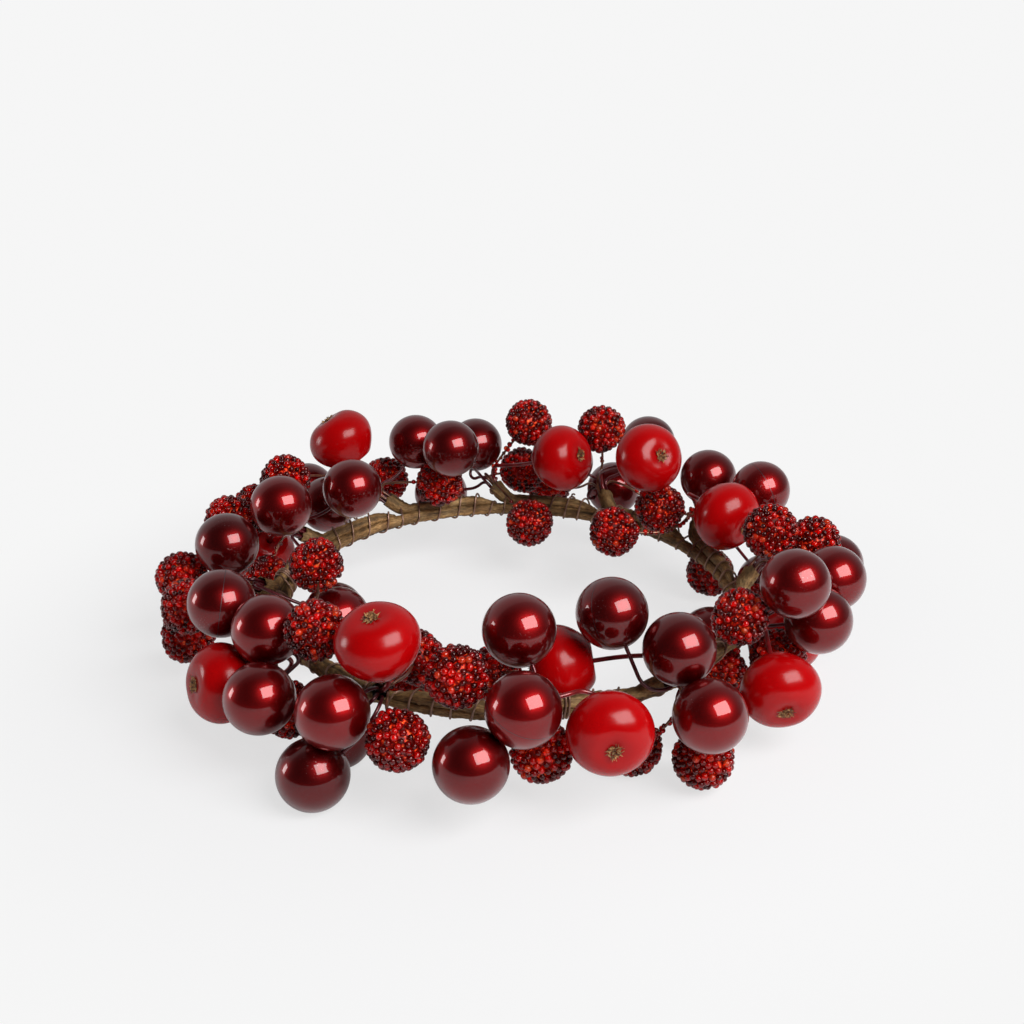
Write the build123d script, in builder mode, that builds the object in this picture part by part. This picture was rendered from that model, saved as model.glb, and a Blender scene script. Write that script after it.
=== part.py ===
from build123d import *
import math
import os

import numpy as np

# Candle ring: a taped wire hoop with twelve berry picks bound round it.
# Millimetres, +Z up. The origin is the middle of the candle space, on the table top.

# Hoop
ring_radius = 59.0
hoop_height = 17.0
hoop_wire_diameter = 1.8
hoop_diameter = 2.8
tape_fit = 0.05

# Picks: a bunch of stems bound with paper tape into a neck, whose tail lies along the hoop
pick_count = 12
first_pick_angle = 4.0
tail_diameter = 2.4
tail_start_turn = -28.0
neck_start_turn = -6.0
neck_lean = 50.0
neck_bend_radius = 5.7
neck_run = 3.5
mouth_diameter = 4.4
mouth_depth = 3.5
tail_tilt = 45.0
seat_gap = 0.1

# Binding wire round the hoop and the tails
binding_wire_diameter = 0.55
binding_turns = 23
binding_pitch_turn = 15.0
binding_start_turn = -8.0
binding_gap = 0.35
wound_self_gap = 0.4

# Berries
pearl_diameter = 16.0
apple_diameter = 19.0
apple_length = 16.6
beaded_diameter = 14.6
bead_diameter = 1.86
beads_per_berry = 100
bead_glue_depth = 0.2
calyx_diameter = 3.0
calyx_height = 1.3
calyx_seat_diameter = 1.7
calyx_seat_depth = 0.6
calyx_dimple_depth = 1.0
stem_dimple_depth = 1.8

# Stems
pearl_stem_diameter = 0.9
apple_stem_diameter = 1.1
beaded_stem_diameter = 0.7
stem_hole_depth = 5.0
stem_fit = 0.06
stem_gap = 0.15
shortest_stem_bend = 1.6

# Room kept when the ring is dressed by hand
candle_space_diameter = 63.0
berry_gap = 0.4
core_gap = 0.5
neck_gap = 0.9

# How far every cut runs past the surface that it opens
overrun = 1.0

# Where each pick's berries hang: degrees round from the neck, then the reach from the
# candle's axis and the rise above the table, as shares of the hoop's radius. An apple
# that shows its calyx has the way it looks: degrees round from straight out, degrees up.
pearl_place_shares = [
    [(2, 1.48, 0.37), (-11, 0.90, 0.12)],
    [(5, 1.26, 0.54), (-9, 1.32, 0.57), (-14, 1.31, 0.12)],
    [(11, 1.13, 0.51), (-7, 1.30, 0.61), (1, 1.29, 0.33)],
    [(16, 0.82, 0.70), (4, 1.24, 0.55), (13, 1.21, 0.31)],
    [(15, 1.18, 0.40), (11, 1.45, 0.38), (-10.5, 1.18, 0.62)],
    [(15, 1.04, 0.64), (-6, 0.86, 0.62), (16, 0.81, 0.12)],
    [(-3, 1.23, 0.55), (10, 0.76, 0.27), (-4, 1.09, 0.12)],
    [(-8.5, 1.28, 0.53), (5, 1.21, 0.52), (12.5, 1.37, 0.35)],
    [(-2.5, 1.34, 0.40), (-5.5, 1.39, 0.12), (-10.5, 1.12, 0.12)],
    [(-1.5, 0.99, 0.64), (-1.5, 1.31, 0.49), (-9.5, 1.36, 0.29)],
    [(-9, 0.94, 0.64), (-1, 1.18, 0.56), (-2, 1.40, 0.39)],
    [(-3.5, 1.30, 0.66), (15.5, 1.40, 0.50), (3.5, 1.37, 0.44)],
]
apple_place_shares = [
    (-12, 1.22, 0.15),
    (-15.5, 1.05, 0.54, -60, -25),
    (-24, 0.85, 0.73, -102, 6),
    (-21, 0.86, 0.63, -111, 11),
    (7.5, 1.24, 0.68, 0, 60),
    (-2.5, 1.37, 0.21),
    None,
    (0, 1.35, 0.28, 21, 15),
    (2.5, 1.19, 0.63, 5, 66),
    (12, 1.34, 0.39, -33, -2),
    (-18.5, 0.82, 0.38),
    (-11, 1.34, 0.29, -49, -9),
]
beaded_place_shares = [
    [(-9, 1.13, 0.65), (-4, 1.34, 0.55), (7, 1.13, 0.16)],
    [(7, 0.66, 0.41), (6, 0.95, 0.46), (-3, 1.15, 0.12)],
    [(1.5, 1.12, 0.71), (17, 1.37, 0.28), (-13, 1.22, 0.31)],
    [(-9, 1.18, 0.69), (-7, 1.19, 0.41), (-11.5, 0.78, 0.31)],
    [(32, 1.14, 0.66), (-5.5, 1.35, 0.37), (-13, 0.96, 0.47)],
    [(10, 1.18, 0.21), (13.5, 1.30, 0.53), (1.5, 1.32, 0.48)],
    [(-4.5, 1.45, 0.37), (10.5, 1.39, 0.41), (4.5, 1.41, 0.20)],
    [(18.5, 0.67, 0.15), (-21.5, 0.84, 0.53), (4, 1.13, 0.12)],
    [(8.5, 1.33, 0.34), (-2, 0.78, 0.36), (-12.5, 1.17, 0.60)],
    [(2, 1.17, 0.24), (-12.5, 1.21, 0.56), (-9.5, 0.66, 0.26)],
    [(0.5, 1.31, 0.14), (-7.5, 1.08, 0.12), (11.5, 1.12, 0.12)],
    [(-7, 1.11, 0.49), (1.5, 0.99, 0.12), (5, 1.21, 0.22)],
]

# Apple outline, from the calyx dimple round to the stem dimple: shares of the apple's
# half diameter, and of its half length above or below the widest place
apple_rim_share = 0.42
apple_rise_share = 0.94
apple_belly_share = 0.03
apple_base_share = 0.38

# The most that a stem may wander, as a share of the straight way to its berry
longest_stem_share = 1.3

# The ways a stem is tried: degrees off the straight way into its berry, how many sides
# it leans to, and how far it runs straight past the neck, as a share of the neck's own
# run, and before the berry, as a share of its thickness
stem_tilts = (20, 40, 60, 80, 100, 120)
looking_tilts = (10, 20)
stem_clocks = 12
run_out_shares = (0.0, 0.5, 1.2)
run_in_shares = (0.1, 1.5, 4.5, 7.5)

# How finely courses are measured, and how often the berries are pushed apart
points_per_run = 5
points_per_arc = 24
points_past_mouth = 10
dressing_sweeps = 200

# How a neck swells from its tail's diameter to its mouth's, along its length
neck_growth_shares = [(0, 0), (0.18, 0.25), (0.36, 0.75), (0.52, 1), (0.76, 1), (1, 1)]

# Worked out from the sizes above
pick_step = 360.0 / pick_count
tail_offset = hoop_diameter / 2 + tail_diameter / 2 + seat_gap
tail_radius = ring_radius + tail_offset * math.cos(math.radians(tail_tilt))
tail_height = hoop_height + tail_offset * math.sin(math.radians(tail_tilt))
BERRY_DIAMETERS = {"pearl": pearl_diameter, "apple": apple_diameter, "beaded": beaded_diameter}
STEM_DIAMETERS = {
    "pearl": pearl_stem_diameter,
    "apple": apple_stem_diameter,
    "beaded": beaded_stem_diameter,
}


def unit(vector):
    return vector / np.linalg.norm(vector)


def outward(degrees):
    return np.array([math.cos(math.radians(degrees)), math.sin(math.radians(degrees)), 0.0])


def around(degrees):
    return np.array([-math.sin(math.radians(degrees)), math.cos(math.radians(degrees)), 0.0])


UP = np.array([0.0, 0.0, 1.0])


def off_the_hoop(degrees):
    """The way from the hoop's centreline to the tails that lie on it."""
    tilt = math.radians(tail_tilt)
    return outward(degrees) * math.cos(tilt) + UP * math.sin(tilt)


def write_part(part, name, edges_on_faces=True):
    part.label = name
    export_step(part, f"parts/{name}.step", write_pcurves=edges_on_faces)


def write_group(pieces, name, edges_on_faces=True):
    """Like pieces that share a node stay separate solids in it."""
    with BuildPart() as group:
        add(pieces)
    write_part(group.part, name, edges_on_faces)


class Neck:
    """Where one pick's neck leaves its tail, bends and opens into its mouth."""

    def __init__(self, angle):
        self.angle = angle
        self.start_angle = angle + neck_start_turn
        self.start = outward(self.start_angle) * tail_radius + UP * tail_height
        along = around(self.start_angle)
        aside = off_the_hoop(self.start_angle)
        lean = math.radians(neck_lean)
        self.direction = along * math.cos(lean) + aside * math.sin(lean)
        bend_along = along * neck_bend_radius * math.sin(lean)
        bend_aside = aside * neck_bend_radius * (1 - math.cos(lean))
        self.bend_end = self.start + bend_along + bend_aside
        self.mouth = self.bend_end + self.direction * neck_run
        self.along = along
        self.bore_radius = mouth_diameter / 2


class Berry:
    """One ball, apple or beaded berry: where it hangs and which way its stem goes in."""

    def __init__(self, kind, pick, place):
        turn, reach_share, rise_share = place[:3]
        self.kind = kind
        self.pick = pick
        self.radius = BERRY_DIAMETERS[kind] / 2
        self.stem_radius = STEM_DIAMETERS[kind] / 2
        self.angle = first_pick_angle + pick * pick_step + turn
        self.centre = outward(self.angle) * ring_radius * reach_share
        self.centre = self.centre + UP * ring_radius * rise_share
        self.entry = None
        self.stem = None
        self.look = None
        if len(place) > 3:
            look_turn, look_lift = place[3:]
            lift = math.radians(look_lift)
            level = outward(self.angle + look_turn)
            self.look = level * math.cos(lift) + UP * math.sin(lift)


def hang_berries():
    berries = []
    for pick in range(pick_count):
        table_row = pick % len(apple_place_shares)
        if apple_place_shares[table_row]:
            berries.append(Berry("apple", pick, apple_place_shares[table_row]))
        for place in pearl_place_shares[table_row]:
            berries.append(Berry("pearl", pick, place))
        for place in beaded_place_shares[table_row]:
            berries.append(Berry("beaded", pick, place))
    return berries


def nearest_on_segment(point, start, end):
    span = end - start
    share = np.clip(np.dot(point - start, span) / np.dot(span, span), 0.0, 1.0)
    return start + share * span


def nearest_on_ring(point, radius, height):
    return unit(point * np.array([1.0, 1.0, 0.0])) * radius + UP * height


def dress_berries(berries, necks):
    """Bend the stems until no berry touches another, the core, a neck or the candle."""
    for number in range(dressing_sweeps):
        moved = 0.0
        for berry in berries:
            obstacles = [(nearest_on_ring(berry.centre, ring_radius, hoop_height),
                          hoop_diameter / 2 + binding_wire_diameter + core_gap)]
            obstacles.append((nearest_on_ring(berry.centre, tail_radius, tail_height),
                              tail_diameter / 2 + binding_wire_diameter + core_gap))
            for neck in necks:
                obstacles.append((nearest_on_segment(berry.centre, neck.start, neck.mouth),
                                  mouth_diameter / 2 + neck_gap))
            for other in berries:
                if other is not berry:
                    obstacles.append((other.centre, other.radius + berry_gap))
            for place, room in obstacles:
                away = berry.centre - place
                short = berry.radius + room - np.linalg.norm(away)
                if short > 0:
                    berry.centre = berry.centre + unit(away) * short / 2
                    moved = max(moved, short)
            reach = math.hypot(berry.centre[0], berry.centre[1])
            short = candle_space_diameter / 2 + berry.radius - reach
            if short > 0:
                level = berry.centre * np.array([1.0, 1.0, 0.0])
                berry.centre = berry.centre + unit(level) * short
            berry.centre[2] = max(berry.centre[2], berry.radius)
        if moved < berry_gap / 100:
            break


class Arc:
    """The circular arc that leaves start along direction and reaches end."""

    def __init__(self, start, direction, end):
        self.start, self.direction, self.end = start, direction, end
        chord = end - start
        length = np.linalg.norm(chord)
        straight = np.dot(chord, direction) / length
        self.half_turn = math.acos(max(-1.0, min(1.0, straight)))
        self.is_line = self.half_turn < math.radians(0.3)
        if self.is_line:
            self.radius = math.inf
            self.length = length
            self.end_direction = direction
        else:
            self.side = unit(chord - np.dot(chord, direction) * direction)
            self.radius = length / (2 * math.sin(self.half_turn))
            self.length = self.radius * 2 * self.half_turn
            turn = 2 * self.half_turn
            self.end_direction = direction * math.cos(turn) + self.side * math.sin(turn)

    def points(self, count):
        shares = np.linspace(0.0, 1.0, count)[:, None]
        if self.is_line:
            return self.start + shares * (self.end - self.start)
        angles = shares * self.half_turn
        chords = 2 * self.radius * np.sin(angles)
        return self.start + chords * (self.direction * np.cos(angles) + self.side * np.sin(angles))

    def draw(self):
        if self.is_line:
            Line(tuple(self.start), tuple(self.end))
        else:
            TangentArc(tuple(self.start), tuple(self.end), tangent=tuple(self.direction))


def biarc(start, start_direction, end, end_direction):
    """Two arcs that meet smoothly and join two points in two given directions."""
    span = end - start
    both = start_direction + end_direction
    opening = 2 * (1 - np.dot(start_direction, end_direction))
    across = np.dot(span, both)
    if opening < 1e-9:
        reach = np.dot(span, span) / (2 * across)
    else:
        reach = (math.sqrt(across ** 2 + opening * np.dot(span, span)) - across) / opening
    joint = (start + end + reach * (start_direction - end_direction)) / 2
    first = Arc(start, start_direction, joint)
    return [first, Arc(joint, first.end_direction, end)]


class Stem:
    """A stem's course: straight in the neck, two arcs outside, straight in the berry."""

    def __init__(self, berry, root, neck, entry, run_out, run_in):
        surface_depth = berry.radius
        if berry.kind == "apple":
            surface_depth = apple_length / 2 - stem_dimple_depth
        self.root = root
        self.mouth = root + neck.direction * mouth_depth
        self.leave = self.mouth + neck.direction * run_out
        self.seat = berry.centre - entry * (surface_depth - stem_hole_depth)
        self.skin = berry.centre - entry * (berry.radius + berry.stem_radius)
        self.arrive = self.skin - entry * run_in
        self.entry = entry
        self.start_direction = neck.direction
        self.arcs = biarc(self.leave, neck.direction, self.arrive, entry)
        self.tightest = min(arc.radius for arc in self.arcs)
        self.length = mouth_depth + run_out + sum(arc.length for arc in self.arcs)
        self.length += np.linalg.norm(self.seat - self.arrive)

    def outside_points(self):
        """Points from just past the neck's mouth to just before the berry's skin."""
        runs = [np.linspace(self.mouth, self.leave, points_per_run)[1:]]
        for arc in self.arcs:
            runs.append(arc.points(points_per_arc)[1:])
        runs.append(np.linspace(self.arrive, self.skin, points_per_run)[1:])
        return np.vstack(runs)


def stem_clearance(points, berry, berries, neck, necks, laid):
    """Least room between a stem's course and everything that it passes."""
    stem_radius = berry.stem_radius
    centres = np.array([other.centre for other in berries if other is not berry])
    radii = np.array([other.radius for other in berries if other is not berry])
    gaps = np.linalg.norm(points[:, None] - centres[None], axis=2) - radii[None]
    room = gaps.min() - stem_radius
    own = np.linalg.norm(points - berry.centre, axis=1) - berry.radius
    room = min(room, own.min() - stem_radius / 2 + stem_gap)
    reach = np.hypot(points[:, 0], points[:, 1])
    bound = binding_gap + binding_wire_diameter
    hoop = np.hypot(reach - ring_radius, points[:, 2] - hoop_height)
    room = min(room, hoop.min() - hoop_diameter / 2 - bound - stem_radius)
    tail = np.hypot(reach - tail_radius, points[:, 2] - tail_height)
    room = min(room, tail.min() - tail_diameter / 2 - bound - stem_radius)
    for other in necks:
        passed = points[points_past_mouth:] if other is neck else points
        span = other.mouth - other.start
        shares = np.clip((passed - other.start) @ span / np.dot(span, span), 0.0, 1.0)
        apart = np.linalg.norm(passed - other.start - shares[:, None] * span, axis=1)
        room = min(room, apart.min() - mouth_diameter / 2 - stem_radius)
    for other_points, other_radius in laid:
        apart = np.linalg.norm(points[:, None] - other_points[None], axis=2).min()
        room = min(room, apart - other_radius - stem_radius)
    room = min(room, points[:, 2].min() - stem_radius)
    return room


def tilted(direction, tilt, clock):
    """The direction leaned by tilt degrees towards a clock angle round it."""
    sideways = unit(np.cross(direction, UP + direction[::-1] * 0.01))
    upwards = np.cross(sideways, direction)
    lean = math.radians(tilt)
    turn = math.radians(clock)
    aside = sideways * math.cos(turn) + upwards * math.sin(turn)
    return direction * math.cos(lean) + aside * math.sin(lean)


def stem_choices(berry, root, neck):
    """Ever rounder bends from the neck to the berry, shortest first."""
    wanted = unit(berry.centre - neck.mouth)
    direct = np.linalg.norm(berry.centre - neck.mouth)
    longest_stem = direct * longest_stem_share + mouth_depth + apple_diameter
    tilts = stem_tilts
    if berry.look is not None:
        wanted = berry.look
        tilts = looking_tilts
    entries = [wanted]
    for tilt in tilts:
        for clock in range(stem_clocks):
            entries.append(tilted(wanted, tilt, 360 * clock / stem_clocks))
    choices = []
    for entry in entries:
        for run_out_share in run_out_shares:
            for run_in_share in run_in_shares:
                run_out = run_out_share * neck_run
                run_in = run_in_share * berry.stem_radius * 2
                stem = Stem(berry, root, neck, entry, run_out, run_in)
                if stem.tightest > shortest_stem_bend and stem.length < longest_stem:
                    choices.append(stem)
    return sorted(choices, key=lambda stem: stem.length)


def route_stem(berry, root, neck, necks, berries, laid):
    """The shortest course that clears everything, or else the one with the most room."""
    best, best_room = None, -math.inf
    for stem in stem_choices(berry, root, neck):
        room = stem_clearance(stem.outside_points(), berry, berries, neck, necks, laid)
        if room > best_room:
            best, best_room = stem, room
        if best_room >= stem_gap:
            break
    return best, best_room


def bundle_roots(neck, members):
    """Stems stand in the neck as one in the middle and the rest round it."""
    thickest = max(2 * berry.stem_radius for berry in members)
    pitch = thickest + stem_gap + stem_fit
    neck.bore_radius = pitch + thickest / 2 + stem_fit
    aside = unit(np.cross(neck.direction, neck.along))
    across = np.cross(aside, neck.direction)
    bottom = neck.mouth - neck.direction * mouth_depth

    def spread(berry):
        return np.dot(unit(berry.centre - neck.mouth), neck.direction)

    def clock(berry):
        way = berry.centre - neck.mouth
        return math.atan2(np.dot(way, aside), np.dot(way, across))

    middle = max(members, key=spread)
    ring = sorted((berry for berry in members if berry is not middle), key=clock)
    step = 2 * math.pi / len(ring)
    lag = np.array([clock(berry) - number * step for number, berry in enumerate(ring)])
    first = math.atan2(np.sin(lag).mean(), np.cos(lag).mean())
    roots = {id(middle): bottom}
    for number, berry in enumerate(ring):
        turn = first + number * step
        place = across * math.cos(turn) + aside * math.sin(turn)
        roots[id(berry)] = bottom + place * pitch
    return roots


def lay_stems(berries, necks):
    """Route every stem, apples first because most of them have to look one way."""
    laid = []
    tight = []
    for kind in ("apple", "pearl", "beaded"):
        for neck_number, neck in enumerate(necks):
            members = [berry for berry in berries if berry.pick == neck_number]
            roots = bundle_roots(neck, members)
            for berry in members:
                if berry.kind != kind:
                    continue
                stem, room = route_stem(
                    berry, roots[id(berry)], neck, necks, berries, laid)
                berry.stem = stem
                berry.entry = stem.entry
                laid.append((stem.outside_points(), berry.stem_radius))
                if room < stem_gap:
                    tight.append((neck_number + 1, kind, round(float(room), 2)))
    print("stems with less room than wanted:", tight)
    lengths = [berry.stem.length for berry in berries]
    print("stem lengths from", round(min(lengths), 1), "to", round(max(lengths), 1))


def make_stem(berry):
    stem = berry.stem
    with BuildPart() as wire:
        with BuildLine() as course:
            Line(tuple(stem.root), tuple(stem.leave))
            for arc in stem.arcs:
                arc.draw()
            Line(tuple(stem.arrive), tuple(stem.seat))
        with BuildSketch(Plane(origin=tuple(stem.root), z_dir=tuple(stem.start_direction))):
            Circle(berry.stem_radius)
        sweep(path=course.line)
    return wire.part


def make_pearl(berry):
    """A ball, drilled for its stem."""
    with BuildPart(Plane(origin=tuple(berry.centre), z_dir=tuple(-berry.entry))) as pearl:
        Sphere(berry.radius)
        with Locations((0, 0, berry.radius)):
            Hole(berry.stem_radius + stem_fit, stem_hole_depth)
    return pearl.part


def make_beaded_pattern():
    """A core rolled in beads, drilled at its top: every beaded berry is a copy of it.

    The beads lie evenly, each a golden turn round and a step down from the last. The
    first is left off, where the stem goes in.
    """
    reach = (beaded_diameter - bead_diameter) / 2
    golden_turn = math.pi * (3 - math.sqrt(5))
    places = []
    for number in range(1, beads_per_berry):
        height = 1 - (2 * number + 1) / beads_per_berry
        level = math.sqrt(1 - height ** 2)
        turn = golden_turn * number
        places.append((reach * level * math.cos(turn), reach * level * math.sin(turn), reach * height))
    with BuildPart() as pattern:
        Sphere(reach - bead_glue_depth)
        with Locations(*places):
            Sphere(bead_diameter / 2)
        with Locations((0, 0, beaded_diameter / 2)):
            Hole(beaded_stem_diameter / 2 + stem_fit, stem_hole_depth)
    return pattern.part


def make_beaded(berry, pattern):
    with BuildPart() as beaded:
        with Locations(Plane(origin=tuple(berry.centre), z_dir=tuple(-berry.entry))):
            add(pattern)
    return beaded.part


def make_apple(berry):
    """A squat apple, dimpled at both ends, drilled for its stem and for its calyx."""
    half = apple_length / 2
    upright = Plane(origin=tuple(berry.centre), z_dir=tuple(-berry.entry))
    section = Plane(origin=upright.origin, x_dir=upright.x_dir, z_dir=-upright.y_dir)
    calyx_floor = calyx_dimple_depth - half
    stem_floor = half - stem_dimple_depth
    with BuildPart(upright) as apple:
        with BuildSketch(section):
            with BuildLine():
                Spline(
                    (0, calyx_floor),
                    (berry.radius * apple_rim_share, -half * apple_rise_share),
                    (berry.radius, half * apple_belly_share),
                    (berry.radius * apple_base_share, half * apple_rise_share),
                    (0, stem_floor),
                    tangents=[(1, 0), (-1, 0)],
                )
                Line((0, stem_floor), (0, calyx_floor))
            make_face()
        revolve(axis=Axis(tuple(berry.centre), tuple(berry.entry)))
        with Locations((0, 0, stem_floor)):
            Hole(berry.stem_radius + stem_fit, stem_hole_depth)
        with BuildSketch(upright.offset(calyx_floor + calyx_seat_depth)):
            Circle(calyx_seat_diameter / 2)
        extrude(amount=-(calyx_seat_depth + overrun), mode=Mode.SUBTRACT)
    return apple.part


def make_calyx(berry):
    """The dried tuft in the apple's lower dimple, flaring out of a flat seat."""
    calyx_seat = apple_length / 2 - calyx_dimple_depth - calyx_seat_depth
    foot = Plane(origin=tuple(berry.centre + berry.entry * calyx_seat), z_dir=tuple(berry.entry))
    with BuildPart() as calyx:
        with BuildSketch(foot):
            Circle(calyx_seat_diameter / 2 - stem_fit)
        with BuildSketch(foot.offset(calyx_seat_depth)):
            Circle(calyx_seat_diameter / 2 - stem_fit)
        with BuildSketch(foot.offset(calyx_height + calyx_seat_depth)):
            Circle(calyx_diameter / 2)
        loft(ruled=True)
    return calyx.part


def make_tape(neck):
    """One pick's paper tape: a tail that follows the hoop and a neck that opens out."""
    tail_turn = neck_start_turn - tail_start_turn
    level = Plane.XY.offset(tail_height)
    lean = math.radians(neck_lean)
    with BuildPart() as tape:
        with BuildLine(level) as tail_line:
            CenterArc((0, 0), tail_radius, neck.angle + tail_start_turn, tail_turn)
        tail_end = Plane(origin=tail_line.line @ 0, z_dir=tail_line.line % 0)
        with BuildSketch(tail_end):
            Circle(tail_diameter / 2)
        sweep(path=tail_line.line)
        with BuildLine() as neck_line:
            TangentArc(tuple(neck.start), tuple(neck.bend_end), tangent=tuple(neck.along))
            Line(tuple(neck.bend_end), tuple(neck.mouth))
        growth = mouth_diameter - tail_diameter
        for station_share, growth_share in neck_growth_shares:
            station = Plane(
                origin=neck_line.line @ station_share, z_dir=neck_line.line % station_share)
            with BuildSketch(station):
                Circle((tail_diameter + growth * growth_share) / 2)
        loft()
        with BuildSketch(Plane(origin=tuple(neck.mouth), z_dir=tuple(neck.direction))):
            Circle(neck.bore_radius)
        extrude(amount=-mouth_depth, mode=Mode.SUBTRACT)
    return tape.part


def make_hoop_wire():
    with BuildPart() as hoop_wire:
        with BuildSketch(Plane.XZ):
            with Locations((ring_radius, hoop_height)):
                Circle(hoop_wire_diameter / 2)
        revolve(axis=Axis.Z)
    return hoop_wire.part


def make_hoop_tape():
    with BuildPart() as hoop_tape:
        with BuildSketch(Plane.XZ):
            with Locations((ring_radius, hoop_height)):
                Circle(hoop_diameter / 2)
                Circle(hoop_wire_diameter / 2 + tape_fit, mode=Mode.SUBTRACT)
        revolve(axis=Axis.Z)
    return hoop_tape.part


def binding_place(turns):
    """Where the binding wire is after so many turns: an oval round the hoop and a tail."""
    angle = first_pick_angle + binding_start_turn + turns * binding_pitch_turn
    tilt = math.radians(tail_tilt)
    aside = off_the_hoop(angle)
    across = UP * math.cos(tilt) - outward(angle) * math.sin(tilt)
    bound_width = max(hoop_diameter, tail_diameter) / 2
    half_length = (tail_offset + tail_diameter / 2 + hoop_diameter / 2) / 2
    middle = tail_offset + tail_diameter / 2 - half_length
    stand_off = binding_gap + binding_wire_diameter / 2
    wound = 2 * math.pi * turns
    centre = outward(angle) * ring_radius + UP * hoop_height + aside * middle
    centre = centre + aside * (half_length + stand_off) * math.cos(wound)
    return centre + across * (bound_width + stand_off) * math.sin(wound)


def binding_course():
    """Quarter turns, each drawn as two arcs that meet smoothly."""
    quarters = 4 * binding_turns
    step = 1 / quarters
    places = [binding_place(number / 4) for number in range(quarters + 1)]
    ways = []
    for number in range(quarters + 1):
        turns = number / 4
        ways.append(unit(binding_place(turns + step) - binding_place(turns - step)))
    arcs = []
    for number in range(quarters):
        arcs.extend(biarc(places[number], ways[number], places[number + 1], ways[number + 1]))
    return arcs, ways[0]


def check_binding(arcs, necks):
    """Measure the wound wire on points: to itself, to the core and to the necks."""
    points = np.vstack([arc.points(points_per_arc)[1:] for arc in arcs])
    half_turn = len(points) // (2 * binding_turns)
    self_room = math.inf
    for number in range(len(points) - half_turn):
        later = points[number + half_turn:]
        self_room = min(self_room, np.linalg.norm(later - points[number], axis=1).min())
    self_room -= binding_wire_diameter
    reach = np.hypot(points[:, 0], points[:, 1])
    half_wire = binding_wire_diameter / 2
    hoop_room = np.hypot(reach - ring_radius, points[:, 2] - hoop_height).min()
    tail_room = np.hypot(reach - tail_radius, points[:, 2] - tail_height).min()
    hoop_room -= hoop_diameter / 2 + half_wire
    tail_room -= tail_diameter / 2 + half_wire
    neck_room = math.inf
    for neck in necks:
        bend = Arc(neck.start, neck.along, neck.bend_end).points(points_per_arc)
        line = np.linspace(neck.bend_end, neck.mouth, points_per_run)
        middle = np.vstack([bend[points_per_arc // 2:], line])
        apart = np.linalg.norm(points[:, None] - middle[None], axis=2).min()
        neck_room = min(neck_room, apart - mouth_diameter / 2 - half_wire)
    print("binding wire: least gap to itself", round(float(self_room), 2),
          "to the hoop", round(float(hoop_room), 2), "to the tails", round(float(tail_room), 2),
          "to the necks", round(float(neck_room), 2),
          "tightest bend", round(min(arc.radius for arc in arcs), 2))
    if self_room <= wound_self_gap:
        print("binding wire: its turns lie closer than wanted")


def make_binding(arcs, start_way):
    start = arcs[0].start - start_way * binding_wire_diameter
    end = arcs[-1].end + arcs[-1].end_direction * binding_wire_diameter
    with BuildPart() as binding:
        with BuildLine() as course:
            Line(tuple(start), tuple(arcs[0].start))
            for arc in arcs:
                arc.draw()
            Line(tuple(arcs[-1].end), tuple(end))
        with BuildSketch(Plane(origin=tuple(start), z_dir=tuple(start_way))):
            Circle(binding_wire_diameter / 2)
        sweep(path=course.line)
    return binding.part


def build():
    os.makedirs("parts", exist_ok=True)
    necks = [Neck(first_pick_angle + pick * pick_step) for pick in range(pick_count)]
    berries = hang_berries()
    dress_berries(berries, necks)
    lay_stems(berries, necks)

    write_part(make_hoop_wire(), "hoop_wire")
    write_part(make_hoop_tape(), "hoop_tape")
    arcs, start_way = binding_course()
    check_binding(arcs, necks)
    write_part(make_binding(arcs, start_way), "binding_wire")

    # A bead's rim is a plain circle, so the files leave out its second drawing on the faces
    pattern = make_beaded_pattern()
    for pick, neck in enumerate(necks):
        members = [berry for berry in berries if berry.pick == pick]
        pearls = [make_pearl(berry) for berry in members if berry.kind == "pearl"]
        apples = [make_apple(berry) for berry in members if berry.kind == "apple"]
        beaded = [make_beaded(berry, pattern) for berry in members if berry.kind == "beaded"]
        label = f"pick_{pick + 1:02d}"
        write_part(make_tape(neck), label + "_tape")
        write_group(pearls, label + "_pearls")
        write_group(beaded, label + "_beaded", edges_on_faces=False)
        if apples:
            write_group(apples, label + "_apple")

    for kind in STEM_DIAMETERS:
        stems = [make_stem(berry) for berry in berries if berry.kind == kind]
        write_group(stems, kind + "_stems")
    calyxes = [make_calyx(berry) for berry in berries if berry.kind == "apple"]
    write_group(calyxes, "apple_calyxes")


build()
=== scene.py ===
import math

import bpy
import numpy as np
from mathutils import Matrix, Vector


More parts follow.
